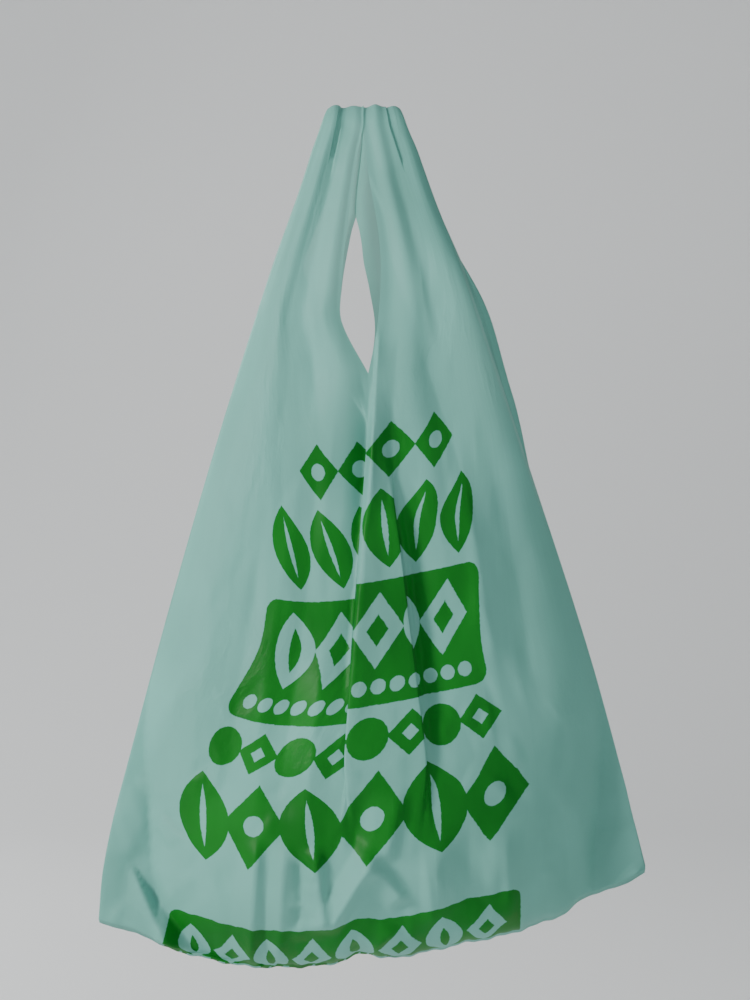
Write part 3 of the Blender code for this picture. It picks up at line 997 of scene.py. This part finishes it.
class PrintedFilm:
    """Material of the film with its ink, with the node groups that it uses."""

    def __init__(self, film: FilmFinish, ink: InkFinish, layout: Print) -> None:
        """Keep the finishes, build the groups and start the material."""
        self.film, self.ink, self.layout = film, ink, layout
        self.motifs = {motif: motif_group(motif) for motif in Motif}
        self.row_place, self.drawn_film = row_group(), film_group()
        self.material = bpy.data.materials.new("printed_green_film")
        self.material.use_nodes = True
        self.wire = wire = Wiring(self.material.node_tree)
        place = wire.node("Attribute", {}, attribute_name=FLAT_PLACE).outputs["Vector"]
        self.across, self.down, self.behind = wire.node("SeparateXYZ", {0: place}).outputs
        rough = wire.noise(self.across, self.down, scale=layout.wobble_scale)
        self.wobble = wire.times(wire.less(rough, 0.5), layout.wobble)

    def motif_mask(self, motif: Motif, x, y, half_width: float, half_height: float) -> Socket:
        """Mask that is 1 inside one motif, with slightly uneven edges."""
        wire, soft = self.wire, self.layout.edge_softness
        inputs = {"X": x, "Y": y, "Half width": half_width, "Half height": half_height}
        shape = wire.node("Group", inputs, node_tree=self.motifs[motif])
        return wire.less(1.0, wire.step(wire.add(shape.outputs[0], self.wobble), -soft, soft))

    def row_mask(self, row: PrintRow) -> Socket:
        """Mask of one row of motifs, less the shapes cut out of them.

        Args:
            row: row to draw.

        Returns:
            A socket that is 1 on the motifs.
        """
        wire, pitch = self.wire, 2.0 * row.half_width / row.places
        inputs = {
            "Across": self.across,
            "Down": self.down,
            "Middle": 0.5 * (row.top + row.bottom),
            "Cell": pitch * row.every,
            "Shift": row.half_width + (0.5 * row.every - row.first - 0.5) * pitch,
            "Lean": row.lean,
            "Count": math.ceil((row.places - row.first) / row.every),
        }
        x, y, within = wire.node("Group", inputs, node_tree=self.row_place).outputs
        half_w, half_h = 0.5 * pitch * row.fill, 0.5 * (row.bottom - row.top)
        mask = self.motif_mask(row.motif, x, y, half_w, half_h)
        if row.cut_out is not None:
            hole = self.motif_mask(row.cut_out, x, y, half_w * row.cut_wide, half_h * row.cut_high)
            mask = wire.times(mask, wire.less(1.0, hole))
        return wire.times(mask, within)

    def band_mask(self, band: PrintBand) -> Socket:
        """Mask of one broad band, less the motifs left bare in it."""
        wire = self.wire
        half_height = 0.5 * (band.bottom - band.top)
        half_width = 0.5 * (band.half_top + band.half_bottom)
        y = wire.less(band.top + half_height, self.down)
        flare = (band.half_bottom - band.half_top) / (2.0 * half_height * half_width)
        narrowed = wire.times(self.across, wire.add(1.0, wire.times(y, flare)))
        mask = self.motif_mask(BAND, narrowed, y, half_width, half_height)
        for row in band.bare:
            mask = wire.times(mask, wire.less(1.0, self.row_mask(row)))
        return mask

    def print_mask(self) -> Socket:
        """Mask that is 1 on ink and 0 on bare film."""
        masks = [self.band_mask(band) for band in self.layout.bands]
        masks += [self.row_mask(row) for row in self.layout.rows]
        total = masks[0]
        for mask in masks[1:]:
            total = self.wire.math("MAXIMUM", total, mask)
        return self.wire.times(total, self.wire.math("LESS_THAN", self.behind, 0.5))

    def build(self) -> bpy.types.Material:
        """Put the material together.

        Returns:
            The material of the printed film.
        """
        wire, film, ink = self.wire, self.film, self.ink
        printed = self.print_mask()
        place = {"Across": self.across, "Down": self.down}
        height, cloud = wire.node("Group", place, node_tree=self.drawn_film).outputs
        bare_tone = wire.blend(wire.step(cloud, *film.cloud_edges), film.deep, film.light)
        ink_tone = wire.blend(wire.step(cloud, *ink.cloud_edges), ink.dark, ink.bright)
        spread = wire.times(cloud, film.roughness_spread)
        gloss = wire.add(film.roughness - 0.5 * film.roughness_spread, spread)
        inked = wire.times(printed, film.roughness - ink.roughness)
        bumps = {"Strength": film.bump_strength, "Distance": film.bump_height, "Height": height}
        normal = wire.node("Bump", bumps).outputs["Normal"]
        surface = {
            "Base Color": wire.blend(printed, bare_tone, ink_tone),
            "Roughness": wire.less(gloss, inked),
            "Specular IOR Level": film.specular,
            "Normal": normal,
        }
        nodes = self.material.node_tree.nodes
        shader, output = nodes["Principled BSDF"], nodes["Material Output"]
        for name, value in surface.items():
            wire.feed(shader.inputs[name], value)
        glow = {"Color": wire.blend(printed, film.glow, ink.glow), "Normal": normal}
        through_light = wire.node("BsdfTranslucent", glow).outputs[0]
        mixed = {0: film.glow_share, 1: shader.outputs[0], 2: through_light}
        wire.feed(output.inputs["Surface"], wire.node("MixShader", mixed).outputs[0])
        return self.material


@dataclass(frozen=True)
class Lamp:
    """A soft square lamp: its name, place, side in metres and power in watts."""

    name: str
    place: Place
    size: float
    power: float


@dataclass
class Studio:
    """Pale floor, soft light and the camera."""

    floor_level: float = -0.62
    floor_half_width: float = 6.0
    floor_start: float = -3.0
    floor_end: float = 2.2
    bend: float = 0.8
    rise: float = 3.0
    bend_steps: int = 16
    floor_colour: Colour = (0.86, 0.87, 0.87, 1.0)
    floor_roughness: float = 0.9
    sky: Colour = (0.95, 0.98, 1.0, 1.0)
    sky_strength: float = 0.40
    camera_height: float = -0.205
    frame_height: float = PHOTO_HEIGHT * METRES_PER_PIXEL
    lit_place: Place = (0.0, 0.0, -0.22)
    lamps: tuple[Lamp, ...] = (
        Lamp("key", (-1.52, -0.98, 0.40), 0.42, 37.0),
        Lamp("fill", (1.2, -1.8, 0.3), 1.4, 4.0),
        Lamp("rim", (-1.35, 1.1, 0.5), 0.6, 16.0),
    )

    def floor(self) -> bpy.types.Object:
        """Pale floor that curves up into a backdrop."""
        bm = bmesh.new()
        flat_end = self.floor_end - self.bend
        profile = [(self.floor_start, 0.0), (flat_end, 0.0)]
        for i in range(1, self.bend_steps + 1):
            angle = 0.5 * math.pi * i / self.bend_steps
            ahead, up = self.bend * math.sin(angle), self.bend - self.bend * math.cos(angle)
            profile.append((flat_end + ahead, up))
        profile.append((self.floor_end, self.rise))
        ends = (-self.floor_half_width, self.floor_half_width)
        rows = [[bm.verts.new((x, y, self.floor_level + z)) for y, z in profile] for x in ends]
        for i in range(len(profile) - 1):
            bm.faces.new((rows[0][i], rows[1][i], rows[1][i + 1], rows[0][i + 1]))
        mesh = bpy.data.meshes.new("studio_floor")
        bm.to_mesh(mesh)
        bm.free()
        mesh.shade_smooth()
        floor = bpy.data.objects.new("studio_floor", mesh)
        material = bpy.data.materials.new("pale_floor")
        material.use_nodes = True
        shader = material.node_tree.nodes["Principled BSDF"]
        shader.inputs["Base Color"].default_value = self.floor_colour
        shader.inputs["Roughness"].default_value = self.floor_roughness
        mesh.materials.append(material)
        bpy.context.scene.collection.objects.link(floor)
        return floor

    def place(self, item: bpy.types.Object, at: Vector, target: Vector) -> bpy.types.Object:
        """Link an object that stands at a point and faces another one."""
        item.location = at
        item.rotation_euler = (target - at).to_track_quat("-Z", "Y").to_euler()
        bpy.context.scene.collection.objects.link(item)
        return item

    def light(self, lamp: Lamp) -> bpy.types.Object:
        """Add one lamp that faces the bag."""
        data = bpy.data.lights.new(lamp.name, "AREA")
        data.shape = "SQUARE"
        data.size = lamp.size
        data.energy = lamp.power
        item = bpy.data.objects.new(lamp.name, data)
        return self.place(item, Vector(lamp.place), Vector(self.lit_place))

    def camera(self) -> bpy.types.Object:
        """Camera that frames the bag as the photograph does."""
        across, up = PICTURE_MIDDLE
        data = bpy.data.cameras.new("camera")
        data.sensor_fit = "VERTICAL"
        data.angle_y = 2.0 * math.atan(0.5 * self.frame_height / CAMERA_DISTANCE)
        at = Vector((across, -CAMERA_DISTANCE, self.camera_height))
        camera = self.place(bpy.data.objects.new("camera", data), at, Vector((across, 0.0, up)))
        bpy.context.scene.camera = camera
        return camera

    def build(self) -> None:
        """Set the stage."""
        self.floor()
        world = bpy.data.worlds.new("studio")
        world.use_nodes = True
        background = world.node_tree.nodes["Background"]
        background.inputs["Color"].default_value = self.sky
        background.inputs["Strength"].default_value = self.sky_strength
        bpy.context.scene.world = world
        for lamp in self.lamps:
            self.light(lamp)
        self.camera()


def grown(pair: Pair, share: float) -> float:
    """First value of a pair, grown by a share of the second."""
    return pair[0] + pair[1] * share


@dataclass(frozen=True)
class Handling:
    """Small folds that handling has left in the film, denser towards the foot.

    Places are pixels of the picture. A pair is either a range, or what a value is at the
    gather and what it gains down to the foot.
    """

    count: int = 230
    drops: Pair = (0.06, 1.0)
    crowding: float = 0.65
    fall: float = 850.0
    spread: float = 0.97
    half_width: Pair = (42.0, 235.0)
    fan_point: Pair = (363.0, -25.0)
    turn: Pair = (0.16, 0.75)
    reach: Pair = (14.0, 46.0)
    reach_gain: Pair = (1.9, -1.2)
    height: Pair = (0.0003, 0.0012)
    height_gain: Pair = (0.35, 0.65)
    sharp: Pair = (0.0014, 0.0030)
    gentle: Pair = (0.003, 0.007)
    fade: float = 0.45

    def creases(self, seed: int) -> tuple[Crease, ...]:
        """Folds of one panel.

        Args:
            seed: start of the random row, so each run gives the same folds.

        Returns:
            The folds, placed as they are seen from the front.
        """
        chance = np.random.default_rng(seed)
        middle, top = GATHER_PIXEL
        made = []
        for _ in range(self.count):
            down = chance.uniform(*self.drops) ** self.crowding
            y = top + self.fall * down
            x = middle + chance.uniform(-self.spread, self.spread) * grown(self.half_width, down)
            along = math.atan2(x - self.fan_point[0], y - self.fan_point[1])
            turn = along + chance.normal(0.0, grown(self.turn, down**4))
            reach = chance.uniform(*self.reach) * grown(self.reach_gain, down)
            dx, dy = reach * math.sin(turn), reach * math.cos(turn)
            way = chance.choice((-1.0, 1.0))
            height = way * chance.uniform(*self.height) * grown(self.height_gain, down)
            sharp, gentle = chance.uniform(*self.sharp), chance.uniform(*self.gentle)
            facets = (sharp, gentle) if chance.uniform() < 0.5 else (gentle, sharp)
            made.append(Crease((x - dx, y - dy), (x + dx, y + dy), height, *facets, self.fade))
        return tuple(made)


def folds(*rows: tuple) -> tuple[Crease, ...]:
    """Creases from rows of numbers.

    Args:
        rows: for each crease the pixels of its ends, its height and the half widths of its
            left and right facet in millimetres, and then its fade and fan where they are set.

    Returns:
        The creases.
    """
    made = []
    for x0, y0, x1, y1, height, left, right, *others in rows:
        sizes = (size / MM_PER_METRE for size in (height, left, right))
        made.append(Crease((x0, y0), (x1, y1), *sizes, *others))
    return tuple(made)


FRONT_CREASES = folds(
    (343, 92, 329, 160, 1.3, 5.0, 0.3, 0.12),
    (342, 124, 332, 176, 1.1, 0.3, 5.0, 0.25),
    (378, 92, 403, 168, 1.3, 6.0, 0.3, 0.12),
    (362, 96, 370, 122, 0.7, 0.3, 3.0, 0.30),
    (365, 165, 388, 215, 0.8, 1.0, 5.0),
    (371, 376, 362, 520, -4.5, 15.0, 1.0, 0.35),
    (379, 326, 367, 530, 3.6, 0.7, 5.2, 0.16),
    (372, 400, 343, 720, -7.5, 18.0, 1.0, 0.30),
    (399, 470, 434, 780, -6.0, 1.0, 17.0, 0.30),
    (340, 360, 318, 600, 3.0, 14.0, 8.0),
    (322, 420, 296, 700, -3.0, 11.0, 8.0),
    (300, 470, 246, 800, 2.6, 12.0, 7.0),
    (268, 500, 212, 860, -3.8, 10.0, 14.0),
    (330, 600, 300, 850, 3.0, 7.0, 6.0),
    (300, 640, 272, 850, -2.6, 6.0, 8.0),
    (452, 400, 500, 700, 3.4, 10.0, 8.0),
    (492, 430, 545, 740, -4.0, 10.0, 16.0),
    (436, 196, 551, 545, 9.5, 17.0, 1.0, 0.25),
    (535, 505, 600, 760, 1.2, 14.0, 10.0, 0.35),
    (520, 560, 572, 740, 1.0, 8.0, 12.0),
    (232, 380, 150, 760, 3.4, 20.0, 12.0),
    (118, 800, 134, 862, 2.6, 12.0, 8.0, 0.30),
    (130, 862, 192, 998, 19.0, 25.0, 7.7, 0.35, True),
    (130, 862, 224, 998, -13.0, 7.7, 35.0, 0.35, True),
    (172, 900, 212, 985, 3.0, 5.0, 2.2, 0.35, True),
    (104, 905, 150, 935, 2.0, 8.0, 4.0),
    (258, 830, 250, 990, 4.6, 6.0, 2.6, 0.20),
    (285, 838, 277, 990, 4.2, 4.4, 3.4, 0.20),
    (315, 842, 325, 936, 5.4, 4.6, 2.2, 0.20),
    (300, 856, 300, 908, -2.4, 1.6, 1.6, 0.20),
    (300, 904, 294, 934, -2.4, 1.6, 2.0, 0.25),
    (284, 931, 332, 927, 3.4, 3.0, 4.0, 0.30),
    (304, 872, 316, 880, 1.4, 1.4, 1.4, 0.30),
    (301, 886, 315, 893, 1.4, 1.4, 1.4, 0.30),
    (304, 905, 318, 918, 1.6, 1.6, 1.6, 0.30),
    (380, 848, 325, 938, 8.4, 5.8, 3.2, 0.20),
    (372, 864, 408, 904, 6.0, 6.0, 2.8, 0.25),
    (352, 874, 384, 870, 3.0, 4.0, 2.6, 0.30),
    (424, 850, 436, 940, 3.6, 8.0, 5.0, 0.30),
    (404, 780, 384, 868, 4.0, 7.0, 2.8, 0.25),
    (368, 786, 350, 856, -3.4, 5.0, 4.0, 0.30),
    (362, 960, 400, 926, 3.8, 6.0, 2.4, 0.30),
    (352, 940, 366, 968, -4.0, 4.0, 4.0, 0.30),
    (570, 760, 594, 915, 2.2, 7.0, 15.0, 0.35),
    (556, 790, 574, 915, -3.0, 6.0, 5.0, 0.35),
    (505, 820, 512, 938, 4.0, 7.0, 5.0),
    (470, 810, 466, 936, -3.2, 7.0, 7.0),
    (436, 830, 440, 930, 2.6, 5.0, 6.0),
    (596, 912, 646, 862, 4.6, 2.6, 7.0, 0.25),
    (614, 898, 642, 872, -3.0, 2.6, 3.0, 0.30),
    (152, 816, 174, 850, 2.6, 1.2, 3.6, 0.30),
    (162, 808, 190, 842, -2.2, 1.0, 3.0, 0.30),
    (134, 775, 176, 802, 1.8, 2.4, 5.0, 0.30),
    (128, 780, 150, 840, 2.6, 8.0, 8.0),
)
BACK_CREASES = folds(
    (352, 130, 262, 420, 3.4, 6.0, 11.0),
    (300, 180, 214, 520, -3.0, 8.0, 6.0),
    (392, 150, 458, 430, 3.6, 11.0, 6.0),
    (366, 372, 392, 640, -6.0, 15.0, 9.0, 0.25),
    (372, 380, 330, 610, 4.0, 13.0, 8.0),
    (402, 400, 468, 690, 4.4, 9.0, 15.0),
    (318, 420, 252, 720, 5.0, 16.0, 7.0),
    (290, 500, 196, 800, -4.0, 11.0, 12.0),
    (456, 480, 540, 800, -4.6, 13.0, 9.0),
    (352, 560, 338, 800, -4.4, 10.0, 10.0),
    (430, 600, 462, 860, 4.4, 12.0, 7.0),
    (268, 640, 222, 880, 4.4, 7.0, 12.0),
    (372, 660, 420, 880, 4.0, 8.0, 5.0, 0.30),
    (384, 820, 330, 940, 6.0, 8.0, 4.4, 0.20),
    (300, 820, 330, 940, 5.0, 5.0, 8.0, 0.20),
    (252, 830, 250, 975, 4.4, 7.0, 3.6, 0.25),
    (440, 840, 452, 940, 4.0, 5.0, 8.0, 0.25),
    (132, 850, 182, 985, 8.0, 12.0, 4.4, 0.20),
    (520, 780, 560, 930, 5.6, 12.0, 5.0, 0.25),
    (596, 820, 640, 930, 5.0, 6.0, 9.0, 0.25),
    (110, 880, 160, 930, -4.0, 6.0, 6.0, 0.30),
)
CREASES = {Face.FRONT: FRONT_CREASES, Face.BACK: BACK_CREASES}
HANDLING_SEEDS = {Face.FRONT: 11, Face.BACK: 5}


def main() -> None:
    """Build the bag and its stage in order, and report each piece."""
    logging.basicConfig(level=logging.INFO, format="%(message)s")
    small = {face: Handling().creases(HANDLING_SEEDS[face]) for face in Face}
    creases = {face: CREASES[face] + small[face] for face in Face}
    material = PrintedFilm(FilmFinish(), InkFinish(), Print()).build()
    film = CarrierBag(FilmSurface(creases)).build(material)
    LOG.info("built %s: %d faces", film.name, len(film.data.polygons))
    Studio().build()
    LOG.info("built the stage and the camera")


if __name__ == "__main__":
    main()
